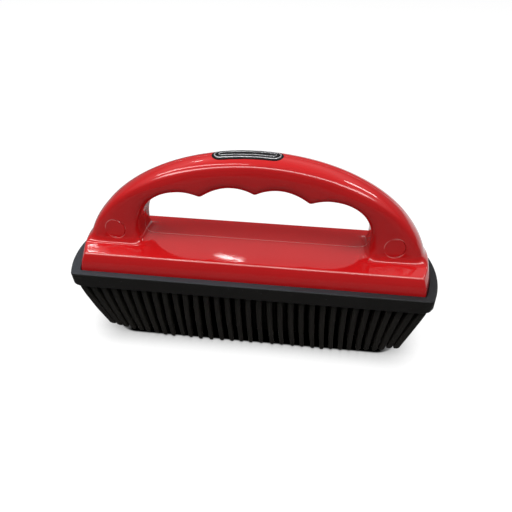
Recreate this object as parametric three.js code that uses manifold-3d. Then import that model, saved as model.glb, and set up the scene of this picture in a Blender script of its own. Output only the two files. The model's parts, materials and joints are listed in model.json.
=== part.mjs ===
// A hand brush for lifting pet hair from cloth: a two-shell D-handle with finger grooves stands
// on a backing plate, and a rubber pad with rows of bristles is stretched over that plate.
// Millimetres, +Z up, X along the brush, -Y is the front.
// The origin is under the middle, at the bristle tips.
import * as THREE from "three";
import { mergeVertices } from "three/addons/utils/BufferGeometryUtils.js";
import Module from "manifold-3d";

const wasm = await Module();
wasm.setup();

// Bristles: rows along X of tapered fingers that hang from a round bead
const bristleLength = 28;
const bristlePitch = 4.67;
const bristleRootWidth = 2.5;
const bristleTipWidth = 1.8;
const bristleRootDepth = 3;
const bristleTipDepth = 2;
const rowCount = 9;
const rowPitch = 5.3;
const rowEndMargin = 4.2;
const endLean = 8;
const endLeanStart = 25;
const endTipRise = 3;
const sideLean = 1;

// Rubber pad: a tray with a lip, long sides straight and ends bowed
const padLength = 166;
const padWidth = 49.9;
const padEndBow = 5.8;
const padCornerRadius = 3;
const padWall = 2;
const padFloor = 1.9;
const padLip = 1.6;
const padEdgeRadius = 0.8;

// Backing plate inside the tray
const plateThickness = 2.7;
const plateScrewSpacingX = 88;
const plateScrewSpacingY = 20;

// Handle base: a low box with leaning walls, bowed ends and a ridged deck
const baseLength = 158;
const baseWidth = 42.8;
const baseEndBow = 4.3;
const baseCornerRadius = 1;
const baseWallLean = 2.2;
const baseWallHeight = 7.7;
const baseEdgeRadius = 1.5;
const baseInnerRadius = 0.2;
const deckRise = 1.5;
const shellWall = 2.4;
const seamGap = 0.3;

// Grip arch, measured from the top of the pad's lip
const archLength = 154.1;
const archHeight = 49.9;
const archPower = 1.95;
const archThickness = 20.6;
const gripThickness = 14.6;
const archDraft = 0.032;
const archEdgeWidth = 3.1;
const archEdgeDepth = 9;

// Opening for the hand
const openingLength = 99;
const openingFootRadius = 7;
const openingShoulder = 5.5;
const openingShoulderDrop = 10;
const grooveCount = 4;
const groovePitch = 23.1;
const grooveDepth = 2.8;
const gripCuspFall = 2.1;

// Screws, plugs and their seats
const screwDiameter = 2.9;
const screwHeadDiameter = 5.8;
const screwHeadHeight = 2;
const screwBossDiameter = 6.8;
const screwBossRoof = 1.5;
const handleScrewSpacing = 121.9;
const handleScrewHeight = 15.5;
const handleScrewWall = 1.8;
const plugDiameter = 8.6;
const plugThickness = 2;
const plugChamfer = 0.3;

// Badge on top of the grip
const badgeLength = 28.9;
const badgeWidth = 9;
const badgeOffset = -2.85;
const badgeRecess = 1.2;
const badgeProud = 0.6;
const badgeRimWidth = 0.8;
const badgeRimProud = 0.25;

// Fits, overcuts and the fineness of curves
const clearance = 0.3;
const overcut = 1;
const arcSteps = 6;
const archSteps = 44;
const archEdgeSteps = 4;
const padEdgeSteps = 2;
const roundSides = 24;

const shellPlastic = material("red moulded plastic", 0xc01c1e, 0.18, 0);
const bristleRubber = material("black rubber", 0x1c1b1b, 0.62, 0);
const badgeBlack = material("gloss black", 0x0b0b0c, 0.2, 0);
const brightTrim = material("bright trim", 0xc9cbd0, 0.25, 1);
const plateGrey = material("dark plastic", 0x2c2c2f, 0.55, 0);
const screwSteel = material("plated steel", 0x9a9ca0, 0.35, 1);

function material(name, color, roughness, metalness) {
  return new THREE.MeshStandardMaterial({ name, color, roughness, metalness });
}

// Levels up from the bristle tips
const padBottom = bristleLength;
const plateBottom = padBottom + padFloor + clearance;
const plateTop = plateBottom + plateThickness;
const lipTop = plateTop + clearance + padLip;
const baseFoot = plateTop - lipTop;

// Closed geometry to solid and back
function solidOf(geometry) {
  const bare = geometry.clone();
  bare.deleteAttribute("normal");
  bare.deleteAttribute("uv");
  const merged = mergeVertices(bare, 1e-4);
  const vertProperties = new Float32Array(merged.attributes.position.array);
  const triVerts = new Uint32Array(merged.index.array);
  return new wasm.Manifold(new wasm.Mesh({ numProp: 3, vertProperties, triVerts }));
}

function geometryOf(solid) {
  const { vertProperties, triVerts } = solid.getMesh();
  const geometry = new THREE.BufferGeometry();
  geometry.setAttribute("position", new THREE.BufferAttribute(vertProperties, 3));
  geometry.setIndex(new THREE.BufferAttribute(triVerts, 1));
  geometry.computeVertexNormals();
  return geometry;
}

function joined(solids) {
  return solids.reduce((sum, next) => sum.add(next));
}

// Outlines drawn in a plane and drawn out along one axis
function alongX(shape, length) {
  const geometry = new THREE.ExtrudeGeometry(shape, {
    depth: length,
    bevelEnabled: false,
    curveSegments: arcSteps,
  });
  const turn = new THREE.Matrix4().makeBasis(
    new THREE.Vector3(0, 1, 0),
    new THREE.Vector3(0, 0, 1),
    new THREE.Vector3(1, 0, 0),
  );
  return geometry.translate(0, 0, -length / 2).applyMatrix4(turn);
}

function alongY(shape, depth, edgeWidth = 0, edgeDepth = 0) {
  const geometry = new THREE.ExtrudeGeometry(shape, {
    depth: depth - 2 * edgeDepth,
    bevelEnabled: edgeWidth > 0,
    bevelSize: edgeWidth,
    bevelOffset: -edgeWidth,
    bevelThickness: edgeDepth,
    bevelSegments: archEdgeSteps,
    curveSegments: arcSteps,
  });
  return geometry.translate(0, 0, edgeDepth - depth / 2).rotateX(Math.PI / 2);
}

function alongZ(shape, bottom, top, edgeRadius = 0) {
  const geometry = new THREE.ExtrudeGeometry(shape, {
    depth: top - bottom - 2 * edgeRadius,
    bevelEnabled: edgeRadius > 0,
    bevelSize: edgeRadius,
    bevelOffset: -edgeRadius,
    bevelThickness: edgeRadius,
    bevelSegments: padEdgeSteps,
    curveSegments: arcSteps,
  });
  return geometry.translate(0, 0, bottom + edgeRadius);
}

function rodAlongY(diameter, from, to, x, z) {
  const rod = new THREE.CylinderGeometry(diameter / 2, diameter / 2, to - from, roundSides);
  return rod.translate(x, (from + to) / 2, z);
}

function rodAlongZ(diameter, from, to, x, y) {
  const rod = new THREE.CylinderGeometry(diameter / 2, diameter / 2, to - from, roundSides);
  return rod.rotateX(Math.PI / 2).translate(x, y, (from + to) / 2);
}

// Plan with straight sides, bowed ends and round corners, its outline drawn in by one inset
function bowedPlan(length, width, bow, cornerRadius) {
  const endRadius = ((width / 2) ** 2 + bow ** 2) / (2 * bow);
  const endCentre = length / 2 - endRadius;
  const cornerY = width / 2 - cornerRadius;
  const cornerX = endCentre + Math.sqrt((endRadius - cornerRadius) ** 2 - cornerY ** 2);
  const cornerTurn = Math.atan2(cornerY, cornerX - endCentre);
  return { endRadius, endCentre, cornerRadius, cornerX, cornerY, cornerTurn };
}

function planOutline(plan, inset) {
  const { endCentre, cornerX, cornerY, cornerTurn } = plan;
  const corner = plan.cornerRadius - inset;
  const end = plan.endRadius - inset;
  const quarter = Math.PI / 2;
  const shape = new THREE.Shape();
  shape.absarc(cornerX, -cornerY, corner, -quarter, -cornerTurn);
  shape.absarc(endCentre, 0, end, -cornerTurn, cornerTurn);
  shape.absarc(cornerX, cornerY, corner, cornerTurn, quarter);
  shape.absarc(-cornerX, cornerY, corner, quarter, Math.PI - cornerTurn);
  shape.absarc(-endCentre, 0, end, Math.PI - cornerTurn, Math.PI + cornerTurn);
  shape.absarc(-cornerX, -cornerY, corner, Math.PI + cornerTurn, Math.PI + quarter);
  return shape;
}

const padPlan = bowedPlan(padLength, padWidth, padEndBow, padCornerRadius);

function padEndAt(y) {
  return padPlan.endCentre + Math.sqrt(padPlan.endRadius ** 2 - y ** 2);
}

// Bristle row: a comb seen from the front, cut to a tapered blade seen from the end
const beadRadius = bristleRootDepth / 2;
const hingeHeight = padBottom - clearance - beadRadius;
const fingerRoot = hingeHeight - clearance;

function rowOffset(index) {
  return (index - (rowCount - 1) / 2) * rowPitch;
}

function endShare(x, rowEnd) {
  const past = Math.abs(x) - endLeanStart;
  return past > 0 ? (past / (rowEnd - endLeanStart)) ** 2 : 0;
}

function combOutline(rowEnd) {
  const fingersPerSide = Math.round(rowEnd / bristlePitch);
  const spineEnd = rowEnd + bristleRootWidth / 2;
  const comb = new THREE.Shape();
  comb.moveTo(-spineEnd, padBottom);
  for (let i = -fingersPerSide; i <= fingersPerSide; i += 1) {
    const rootX = (i / fingersPerSide) * rowEnd;
    const share = endShare(rootX, rowEnd);
    const tipX = rootX - Math.sign(rootX) * endLean * share;
    const tipZ = endTipRise * share;
    comb.lineTo(rootX - bristleRootWidth / 2, fingerRoot);
    comb.lineTo(tipX - bristleTipWidth / 2, tipZ);
    comb.lineTo(tipX + bristleTipWidth / 2, tipZ);
    comb.lineTo(rootX + bristleRootWidth / 2, fingerRoot);
  }
  comb.lineTo(spineEnd, padBottom);
  return comb;
}

function bladeOutline(y) {
  const lean = (-y / rowOffset(rowCount - 1)) * sideLean || 0;
  const blade = new THREE.Shape();
  blade.absarc(y, hingeHeight, beadRadius, 0, Math.PI);
  blade.lineTo(y + lean - bristleTipDepth / 2, 0);
  blade.lineTo(y + lean - bristleTipDepth / 2, -clearance);
  blade.lineTo(y + lean + bristleTipDepth / 2, -clearance);
  blade.lineTo(y + lean + bristleTipDepth / 2, 0);
  return blade;
}

function bristleRow(index) {
  const y = rowOffset(index);
  const rowEnd = padEndAt(y) - rowEndMargin;
  const comb = alongY(combOutline(rowEnd), bristleRootDepth + 2 * sideLean).translate(0, y, 0);
  const blade = alongX(bladeOutline(y), padLength);
  return geometryOf(solidOf(comb).intersect(solidOf(blade)));
}

// Rubber tray, with a pocket for the plate and a lip round the handle base
function rubberPad() {
  const body = solidOf(alongZ(planOutline(padPlan, 0), padBottom, lipTop, padEdgeRadius));
  const pocket = alongZ(planOutline(padPlan, padWall), plateBottom - clearance, plateTop + clearance);
  const mouth = alongZ(basePlan(-clearance), lipTop - padLip, lipTop + padLip);
  return geometryOf(body.subtract(solidOf(pocket)).subtract(solidOf(mouth)));
}

// Backing plate with sunk screw holes
const plateScrewPlaces = [
  ["front_left", -plateScrewSpacingX / 2, -plateScrewSpacingY / 2],
  ["front_right", plateScrewSpacingX / 2, -plateScrewSpacingY / 2],
  ["rear_left", -plateScrewSpacingX / 2, plateScrewSpacingY / 2],
  ["rear_right", plateScrewSpacingX / 2, plateScrewSpacingY / 2],
];
const holeDiameter = screwDiameter + 2 * clearance;
const headHoleDiameter = screwHeadDiameter + 2 * clearance;
const plateHeadHeight = screwHeadHeight - 2 * clearance;

function backingPlate() {
  let plate = solidOf(alongZ(planOutline(padPlan, padWall + clearance), plateBottom, plateTop));
  const seat = plateBottom + plateHeadHeight + clearance;
  for (const [, x, y] of plateScrewPlaces) {
    const below = plateBottom - overcut;
    plate = plate.subtract(solidOf(rodAlongZ(holeDiameter, below, plateTop + overcut, x, y)));
    plate = plate.subtract(solidOf(rodAlongZ(headHoleDiameter, below, seat, x, y)));
  }
  return geometryOf(plate);
}

// Turned screw that points up the Y axis, its head's top at the origin
function screw(headHeight, length) {
  const profile = [
    new THREE.Vector2(0, 0),
    new THREE.Vector2(screwHeadDiameter / 2, 0),
    new THREE.Vector2(screwHeadDiameter / 2, headHeight),
    new THREE.Vector2(screwDiameter / 2, headHeight),
    new THREE.Vector2(screwDiameter / 2, length - screwDiameter / 2),
    new THREE.Vector2(0, length),
  ];
  return new THREE.LatheGeometry(profile, roundSides);
}

// Handle outlines, drawn from the front in X and Z with Z from the top of the lip
const archHalf = archLength / 2;
const gripCuspHeight = archHeight - gripThickness;

function archTop(x) {
  return archHeight * (1 - (Math.abs(x) / archHalf) ** archPower) ** (1 / archPower);
}

function archOutline(inset, bottom) {
  const startTurn = Math.asin((baseWallHeight / archHeight) ** (archPower / 2));
  const half = (archHalf - inset) * Math.cos(startTurn) ** (2 / archPower);
  const outline = new THREE.Shape();
  outline.moveTo(-half, bottom);
  outline.lineTo(half, bottom);
  for (let i = 0; i <= archSteps; i += 1) {
    const turn = startTurn + (i / archSteps) * (Math.PI - 2 * startTurn);
    const across = Math.sign(Math.cos(turn)) * Math.abs(Math.cos(turn)) ** (2 / archPower);
    const up = Math.sin(turn) ** (2 / archPower);
    outline.lineTo((archHalf - inset) * across, (archHeight - inset) * up);
  }
  return outline;
}

function gripUnderside(x, depth) {
  const fromMiddle = Math.min(Math.abs(x) / groovePitch, (grooveCount - 1) / 2);
  const groove = (1 - Math.cos(2 * Math.PI * fromMiddle)) / 2;
  return gripCuspHeight - gripCuspFall * (x / groovePitch) ** 2 + depth * groove;
}

function openingOutline(floor) {
  const half = openingLength / 2;
  const foot = openingFootRadius;
  const shoulder = half - openingShoulder;
  const shoulderTop = gripUnderside(shoulder, grooveDepth);
  const shoulderBend = shoulderTop - openingShoulder / 2;
  const legTop = shoulderTop - openingShoulderDrop;
  const opening = new THREE.Path();
  opening.absarc(half - foot, floor + foot, foot, -Math.PI / 2, 0);
  opening.lineTo(half, legTop);
  opening.quadraticCurveTo(half, shoulderBend, shoulder, shoulderTop);
  for (let i = 1; i < archSteps; i += 1) {
    const x = shoulder * (1 - (2 * i) / archSteps);
    opening.lineTo(x, gripUnderside(x, grooveDepth));
  }
  opening.lineTo(-shoulder, shoulderTop);
  opening.quadraticCurveTo(-half, shoulderBend, -half, legTop);
  opening.lineTo(-half, floor + foot);
  opening.absarc(-half + foot, floor + foot, foot, Math.PI, 1.5 * Math.PI);
  return opening;
}

// Core of the hollow legs and grip: the same opening, grown by the wall and without grooves
function coreOpeningOutline(floor) {
  const half = openingLength / 2 + shellWall;
  const shoulder = half - openingShoulder;
  const rise = grooveDepth + shellWall;
  const opening = new THREE.Path();
  opening.moveTo(-half, floor);
  opening.lineTo(half, floor);
  opening.lineTo(half, gripUnderside(shoulder, 0) + rise - openingShoulderDrop);
  for (let i = 0; i <= arcSteps * 2; i += 1) {
    const x = shoulder * (1 - i / arcSteps);
    opening.lineTo(x, gripUnderside(x, 0) + rise);
  }
  opening.lineTo(-half, gripUnderside(shoulder, 0) + rise - openingShoulderDrop);
  return opening;
}

// The arch narrows a little towards its top
function withDraft(geometry) {
  const position = geometry.getAttribute("position");
  for (let i = 0; i < position.count; i += 1) {
    const half = archThickness / 2;
    position.setY(i, position.getY(i) * (1 - (archDraft * position.getZ(i)) / half));
  }
  return geometry;
}

function archFaceAt(z) {
  return archThickness / 2 - archDraft * z;
}

// Base section across the brush: leaning walls, rounded upper edges and a ridge along the middle
function baseOutline(inset, bottom) {
  const foot = baseWidth / 2 - inset;
  const edge = foot - baseWallLean;
  const edgeHeight = baseWallHeight - inset;
  const round = inset > 0 ? baseInnerRadius : baseEdgeRadius;
  const wallX = edge + (round * baseWallLean) / baseWallHeight;
  const deckZ = edgeHeight + (round * deckRise) / edge;
  const outline = new THREE.Shape();
  outline.moveTo(-foot, bottom);
  outline.lineTo(foot, bottom);
  outline.lineTo(foot, 0);
  outline.lineTo(wallX, edgeHeight - round);
  outline.quadraticCurveTo(edge, edgeHeight, edge - round, deckZ);
  outline.lineTo(0, edgeHeight + deckRise);
  outline.lineTo(-edge + round, deckZ);
  outline.quadraticCurveTo(-edge, edgeHeight, -wallX, edgeHeight - round);
  outline.lineTo(-foot, 0);
  return outline;
}

// Base body: that section, with ends that are bowed in plan and lean like the sides
function basePlan(inset) {
  const plan = bowedPlan(baseLength - 2 * inset, baseWidth - 2 * inset, baseEndBow, baseCornerRadius);
  return planOutline(plan, 0);
}

function withLean(geometry) {
  const position = geometry.getAttribute("position");
  for (let i = 0; i < position.count; i += 1) {
    const lean = (baseWallLean * position.getZ(i)) / baseWallHeight;
    position.setX(i, position.getX(i) * (1 - lean / (baseLength / 2)));
    position.setY(i, position.getY(i) * (1 - lean / (baseWidth / 2)));
  }
  return geometry;
}

function baseBody(inset, bottom) {
  const plan = basePlan(inset);
  const top = baseWallHeight + deckRise + overcut;
  const upright = solidOf(alongZ(plan, bottom - overcut, top));
  const leaning = solidOf(withLean(alongZ(plan, bottom - overcut, top)));
  const section = solidOf(alongX(baseOutline(inset, bottom), baseLength));
  return section.intersect(upright).intersect(leaning);
}

// Badge outline in plan and its curved slab that follows the top of the grip
function badgePlan(inset) {
  const radius = badgeWidth / 2 - inset;
  const reach = badgeLength / 2 - badgeWidth / 2;
  const plan = new THREE.Shape();
  plan.absarc(badgeOffset + reach, 0, radius, -Math.PI / 2, Math.PI / 2);
  plan.absarc(badgeOffset - reach, 0, radius, Math.PI / 2, 1.5 * Math.PI);
  return plan;
}

function crestSlab(bottom, top) {
  const half = badgeLength / 2 + shellWall;
  const steps = 2 * arcSteps;
  const crest = Array.from({ length: steps + 1 }, (_, i) => {
    const x = badgeOffset + half * ((2 * i) / steps - 1);
    return new THREE.Vector2(x, archTop(x));
  });
  const under = crest.map((point) => new THREE.Vector2(point.x, point.y + bottom));
  const over = crest.map((point) => new THREE.Vector2(point.x, point.y + top)).reverse();
  return alongY(new THREE.Shape([...under, ...over]), badgeWidth + 2 * shellWall);
}

function badgeBlock(inset, bottom, top) {
  const column = alongZ(badgePlan(inset), 0, 2 * archHeight);
  return solidOf(column).intersect(solidOf(crestSlab(bottom, top)));
}

function badgeRim() {
  const outer = badgeBlock(0, clearance - badgeRecess, badgeProud + badgeRimProud);
  return geometryOf(outer.subtract(badgeBlock(badgeRimWidth, -2 * badgeRecess, 2 * archHeight)));
}

function badgePlate() {
  return geometryOf(badgeBlock(badgeRimWidth + clearance, clearance - badgeRecess, badgeProud));
}

// Whole handle with its hollow, bosses and badge recess, before it is parted at the seam
const handleScrewX = handleScrewSpacing / 2;
const legFace = archFaceAt(handleScrewHeight);
const screwHeadTop = -legFace + plugThickness + clearance;
const handleScrewSeat = screwHeadTop + screwHeadHeight;
const wellDiameter = plugDiameter + 2 * clearance;
const handleScrewLength = legFace - handleScrewWall - screwHeadTop - clearance;
const plateScrewLength = baseWallHeight - shellWall - screwBossRoof - plateBottom + lipTop;

function wholeHandle() {
  const archFloor = baseWallHeight - shellWall;
  const arch = archOutline(0, baseFoot);
  arch.holes.push(openingOutline(baseWallHeight - deckRise / 2));
  const core = archOutline(shellWall, 0);
  core.holes.push(coreOpeningOutline(archFloor));
  const outside = joined([
    solidOf(withDraft(alongY(arch, archThickness, archEdgeWidth, archEdgeDepth))),
    baseBody(0, baseFoot),
  ]);
  const hollow = joined([
    solidOf(withDraft(alongY(core, archThickness - 2 * shellWall))),
    baseBody(shellWall, baseFoot - overcut),
  ]);
  const inWall = shellWall / 2;
  const bossTop = baseWallHeight - inWall;
  const bosses = plateScrewPlaces.map(([, x, y]) =>
    solidOf(rodAlongZ(screwBossDiameter, baseFoot, bossTop, x, y)),
  );
  for (const x of [-handleScrewX, handleScrewX]) {
    const frontBoss = wellDiameter + 2 * handleScrewWall;
    bosses.push(solidOf(rodAlongY(frontBoss, inWall - legFace, 0, x, handleScrewHeight)));
    bosses.push(solidOf(rodAlongY(screwBossDiameter, 0, legFace - inWall, x, handleScrewHeight)));
  }
  const recess = badgeBlock(-clearance, -badgeRecess, archHeight);
  return joined([outside.subtract(hollow), ...bosses]).subtract(recess).subtract(joined(screwHoles()));
}

function screwHoles() {
  const plateHoleTop = baseWallHeight - shellWall - screwBossRoof + clearance;
  const holes = plateScrewPlaces.map(([, x, y]) =>
    solidOf(rodAlongZ(holeDiameter, baseFoot - overcut, plateHoleTop, x, y)),
  );
  for (const x of [-handleScrewX, handleScrewX]) {
    const z = handleScrewHeight;
    holes.push(solidOf(rodAlongY(wellDiameter, -archThickness, screwHeadTop - clearance, x, z)));
    holes.push(solidOf(rodAlongY(headHoleDiameter, -archThickness, handleScrewSeat + clearance, x, z)));
    holes.push(solidOf(rodAlongY(holeDiameter, -archThickness, legFace - handleScrewWall, x, z)));
  }
  return holes;
}

function shellHalf(handle, side) {
  const half = new THREE.BoxGeometry(2 * padLength, padWidth, 4 * archHeight);
  half.translate(0, side * (padWidth / 2 + seamGap / 2), 0);
  return geometryOf(handle.intersect(solidOf(half)));
}

function plugDisc() {
  const radius = plugDiameter / 2;
  const profile = [
    new THREE.Vector2(0, 0),
    new THREE.Vector2(radius - plugChamfer, 0),
    new THREE.Vector2(radius, plugChamfer),
    new THREE.Vector2(radius, plugThickness),
    new THREE.Vector2(0, plugThickness),
  ];
  return new THREE.LatheGeometry(profile, roundSides);
}

// Assembly
const brush = new THREE.Group();
const handle = new THREE.Group();
handle.position.z = lipTop;
brush.add(handle);

function addPiece(parent, name, geometry, finish) {
  const mesh = new THREE.Mesh(geometry, finish);
  mesh.name = name;
  parent.add(mesh);
}

const handleSolid = wholeHandle();
addPiece(handle, "handle_front_shell", shellHalf(handleSolid, -1), shellPlastic);
addPiece(handle, "handle_rear_shell", shellHalf(handleSolid, 1), shellPlastic);
addPiece(handle, "badge_plate", badgePlate(), badgeBlack);
addPiece(handle, "badge_rim", badgeRim(), brightTrim);

for (const [side, x] of [["left", -handleScrewX], ["right", handleScrewX]]) {
  const handleScrew = screw(screwHeadHeight, handleScrewLength);
  const plug = plugDisc();
  handleScrew.translate(x, screwHeadTop, handleScrewHeight);
  plug.translate(x, -legFace, handleScrewHeight);
  addPiece(handle, `handle_screw_${side}`, handleScrew, screwSteel);
  addPiece(handle, `screw_plug_${side}`, plug, shellPlastic);
}

addPiece(brush, "backing_plate", backingPlate(), plateGrey);
for (const [place, x, y] of plateScrewPlaces) {
  const plateScrew = screw(plateHeadHeight, plateScrewLength).rotateX(Math.PI / 2);
  plateScrew.translate(x, y, plateBottom);
  addPiece(brush, `plate_screw_${place}`, plateScrew, screwSteel);
}

addPiece(brush, "rubber_pad", rubberPad(), bristleRubber);
for (let i = 0; i < rowCount; i += 1) {
  addPiece(brush, `bristle_row_${i + 1}`, bristleRow(i), bristleRubber);
}

export default brush;
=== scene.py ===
import json
import math
import random

import bmesh
import bpy
from mathutils import Matrix, Vector


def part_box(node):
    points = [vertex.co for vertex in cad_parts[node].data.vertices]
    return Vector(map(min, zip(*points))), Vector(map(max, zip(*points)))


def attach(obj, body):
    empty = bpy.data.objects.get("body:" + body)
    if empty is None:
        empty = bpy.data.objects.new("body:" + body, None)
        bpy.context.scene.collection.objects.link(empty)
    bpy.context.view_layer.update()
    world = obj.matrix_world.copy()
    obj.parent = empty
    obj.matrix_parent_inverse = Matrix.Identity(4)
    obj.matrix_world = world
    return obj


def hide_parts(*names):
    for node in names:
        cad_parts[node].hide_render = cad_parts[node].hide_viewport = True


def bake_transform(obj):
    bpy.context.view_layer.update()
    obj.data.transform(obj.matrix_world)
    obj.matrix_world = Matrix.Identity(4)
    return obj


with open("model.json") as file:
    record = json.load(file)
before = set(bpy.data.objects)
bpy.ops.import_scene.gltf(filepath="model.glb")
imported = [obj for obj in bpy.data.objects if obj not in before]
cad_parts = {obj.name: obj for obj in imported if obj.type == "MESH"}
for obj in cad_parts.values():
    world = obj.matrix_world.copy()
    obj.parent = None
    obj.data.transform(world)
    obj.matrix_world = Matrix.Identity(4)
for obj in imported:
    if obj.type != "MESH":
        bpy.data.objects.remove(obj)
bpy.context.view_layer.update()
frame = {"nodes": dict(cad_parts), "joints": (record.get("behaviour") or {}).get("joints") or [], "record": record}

scene = bpy.context.scene
scene.view_settings.view_transform = "Standard"
root = "handle_and_pad"  # the body that the bristle rows hang on
mm = 0.001  # pieces are drawn in millimetres, finishes and studio are in metres as the frame is
near = 0.01  # points closer than this are in one place
bumpDepth = 0.0002  # of every finish

padLow, padHigh = (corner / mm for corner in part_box("rubber_pad"))
shellLow, shellHigh = (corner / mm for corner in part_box("handle_front_shell"))
lipTop = padHigh.z  # the handle is drawn upwards from here
padBottom = padLow.z
toFrame = Matrix.Scale(mm, 4)
handleToFrame = toFrame @ Matrix.Translation((0, 0, lipTop))


# Node trees written as expressions
class Wire:
    def __init__(self, board, socket):
        self.board = board
        self.socket = socket

    def calc(self, operation, first, second):
        return self.board.node("ShaderNodeMath", {"operation": operation}, {0: first, 1: second})

    def __add__(self, other):
        return self.calc("ADD", self, other)

    def __radd__(self, other):
        return self.calc("ADD", other, self)

    def __sub__(self, other):
        return self.calc("SUBTRACT", self, other)

    def __rsub__(self, other):
        return self.calc("SUBTRACT", other, self)

    def __mul__(self, other):
        return self.calc("MULTIPLY", self, other)

    def __rmul__(self, other):
        return self.calc("MULTIPLY", other, self)

    def most(self, other):
        return self.calc("MAXIMUM", self, other)


class Board:
    def __init__(self, tree):
        self.tree = tree
        tree.nodes.clear()

    def node(self, kind, settings, inputs, output=0):
        made = self.tree.nodes.new(kind)
        for name, value in settings.items():
            if name == "stops":
                self.setStops(made.color_ramp.elements, value)
            else:
                setattr(made, name, value)
        for name, value in inputs.items():
            if isinstance(value, Wire):
                self.tree.links.new(value.socket, made.inputs[name])
            else:
                made.inputs[name].default_value = value
        return Wire(self, made.outputs[output]) if made.outputs else None

    def setStops(self, elements, stops):
        elements[0].position = stops[0][0]
        elements[1].position = stops[-1][0]
        for place, shade in stops[1:-1]:
            elements.new(place)
        for element, (place, shade) in zip(elements, stops):
            element.color = (shade, shade, shade, 1)

    def place(self, stretch=(1, 1, 1)):
        coords = self.node("ShaderNodeTexCoord", {}, {}, "Object")
        return self.node("ShaderNodeMapping", {}, {"Vector": coords, "Scale": stretch})

    def noise(self, where, scale, detail=3.0, rough=0.5):
        inputs = {"Vector": where, "Scale": scale, "Detail": detail, "Roughness": rough}
        return self.node("ShaderNodeTexNoise", {}, inputs)

    def ramp(self, value, stops):
        return self.node("ShaderNodeValToRGB", {"stops": stops}, {"Fac": value})

    def mix(self, share, first, second):
        return self.node("ShaderNodeMix", {"data_type": "RGBA"}, {0: share, 6: first, 7: second}, 2)

    def along(self, vector, axis):
        return self.node("ShaderNodeSeparateXYZ", {}, {"Vector": vector}, axis)

    def size(self, value):
        return self.node("ShaderNodeMath", {"operation": "ABSOLUTE"}, {0: value})

    def squareRoot(self, value):
        return self.node("ShaderNodeMath", {"operation": "SQRT"}, {0: value})

    def fade(self, value, start, end):  # 1 up to the start, 0 from the end on
        return self.node("ShaderNodeMapRange", {}, {0: value, 1: start, 2: end, 3: 1.0, 4: 0.0})

    def band(self, value, centre, reach):
        return self.fade(self.size(value - centre), 0.0, reach)

    def bump(self, height, strength):
        inputs = {"Height": height, "Strength": strength, "Distance": bumpDepth}
        return self.node("ShaderNodeBump", {}, inputs)


def newFinish(name):
    material = bpy.data.materials.new(name)
    material.use_nodes = True
    return material, Board(material.node_tree)


def surface(board, **sockets):
    inputs = {name.replace("_", " "): value for name, value in sockets.items()}
    shader = board.node("ShaderNodeBsdfPrincipled", {}, inputs)
    board.node("ShaderNodeOutputMaterial", {}, {"Surface": shader})


# Handle sizes, which the red finish follows too
handle = {
    "archHeight": 50.3,
    "archHalf": 77.05,
    "archPower": 1.98,  # of the superellipse that its outside follows
    "baseHalf": shellHigh.x,
    "endBow": 4.3,  # of the base's ends in plan
    "faceHalf": 10.3,  # half of the arch's thickness at the lip
    "faceDraft": 0.016,  # it thins by this with the height
    "wallFoot": -shellLow.y,
    "wallLean": 2.2,
    "wallHeight": 7.7,
    "wallCurve": ((0.9, 0.22), (4.0, 0.78)),  # drop below the deck's edge, share of the lean
    "skirt": 1.6,  # reaches down inside the pad's lip
    "deckRise": 1.5,
    "deckCrown": 0.3,  # share of the rise that is curved
    "deckEdge": 0.9,  # reach of the edge rounding
    "legInner": 50.8,
    "shoulderX": 31.5,  # peak of the outer groove
    "shoulderZ": 33.9,
    "shoulderFoot": 16.0,
    "shoulderPower": 2.15,
    "cuspX": 23.0,  # between the inner and the outer groove
    "cuspZ": 31.95,
    "middleCuspZ": 34.4,
    "grooveRise": 3.75,  # of the inner groove above the line between its cusps
    "seamHalf": 0.03,  # half of the gap between the shells
    "seamRound": 0.35,
    "seamSink": 0.10,
    "plugX": 60.95,
    "plugZ": 15.5,
    "ringRadius": 5.0,  # cage round the plug's well
    "wellRadius": 4.6,
    "wellEdge": 0.2,
    "wellDepth": 0.9,
    "wellInset": 0.05,  # a first step inwards, before the ring is set to its radius
    "wall": 1.6,  # thickness of the shells
    "legFlare": 0.85,  # the leg's foot spreads by this over the fillet's height
    "legFillet": 2.2,
    # the arch's long edges: distance in from the face, depth below the top
    "outerEdge": ((4.15, 0.75), (1.95, 1.7), (0.72, 3.0), (0.25, 5.2)),
    "innerEdge": ((0.2, 2.6), (1.05, 0.7)),
    # lines between them: shares of the face's height and of its half thickness
    "faceShares": (0.25, 0.5, 0.75),
    "topShare": 0.25,
    "innerShares": (0.62, 0.35),
    "crown": 18.0,  # radius across the arch's top
    "skew": 0.015,  # the arch leans a little to the right
    "rounding": 2,  # levels of subdivision
}
deckHalf = handle["wallFoot"] - handle["wallLean"]

# Red moulding: clouded a little, dusty, with scuffs in the gloss, and highlights painted as pale lines along the
# deck's front edge, the seam and round the plugs
red = {
    "deep": (0.500, 0.0070, 0.0085, 1),
    "bright": (0.560, 0.0095, 0.0110, 1),
    "cloudScale": 26,
    "dust": (0.62, 0.30, 0.28, 1),
    "dustScale": 1500,
    "dustSpecks": ((0.70, 0), (0.80, 1)),
    "dustShare": 0.10,
    "scuffStretch": (60, 900, 900),
    "scuffScale": 1.4,
    "scuffMarks": ((0.62, 0), (0.78, 1)),
    "roughness": 0.045,
    "cloudRoughness": 0.03,
    "scuffRoughness": 0.10,
    "ior": 1.46,
    "peelScale": 420,
    "peelStrength": 0.05,
    # colour of the painted highlight lines
    "paintedHighlight": (0.80, 0.34, 0.32, 1),
    "ridge": {"reach": 0.0004, "rise": 0.0009, "strength": 0.75},
    "seam": {"reach": 0.0003, "top": (0.060, 0.070), "strength": 0.5},  # fades out below the grip
    "ring": {"reach": 0.0003, "front": (-0.008, -0.007), "strength": 0.6},  # round the plugs in front
    "ringPatchScale": 190,
    "ringPatches": ((0.44, 0), (0.60, 1)),
}


# painted highlights: pale lines along the deck's front edge, along the seam and round the plugs, standing in for
# bright edge reflections
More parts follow.
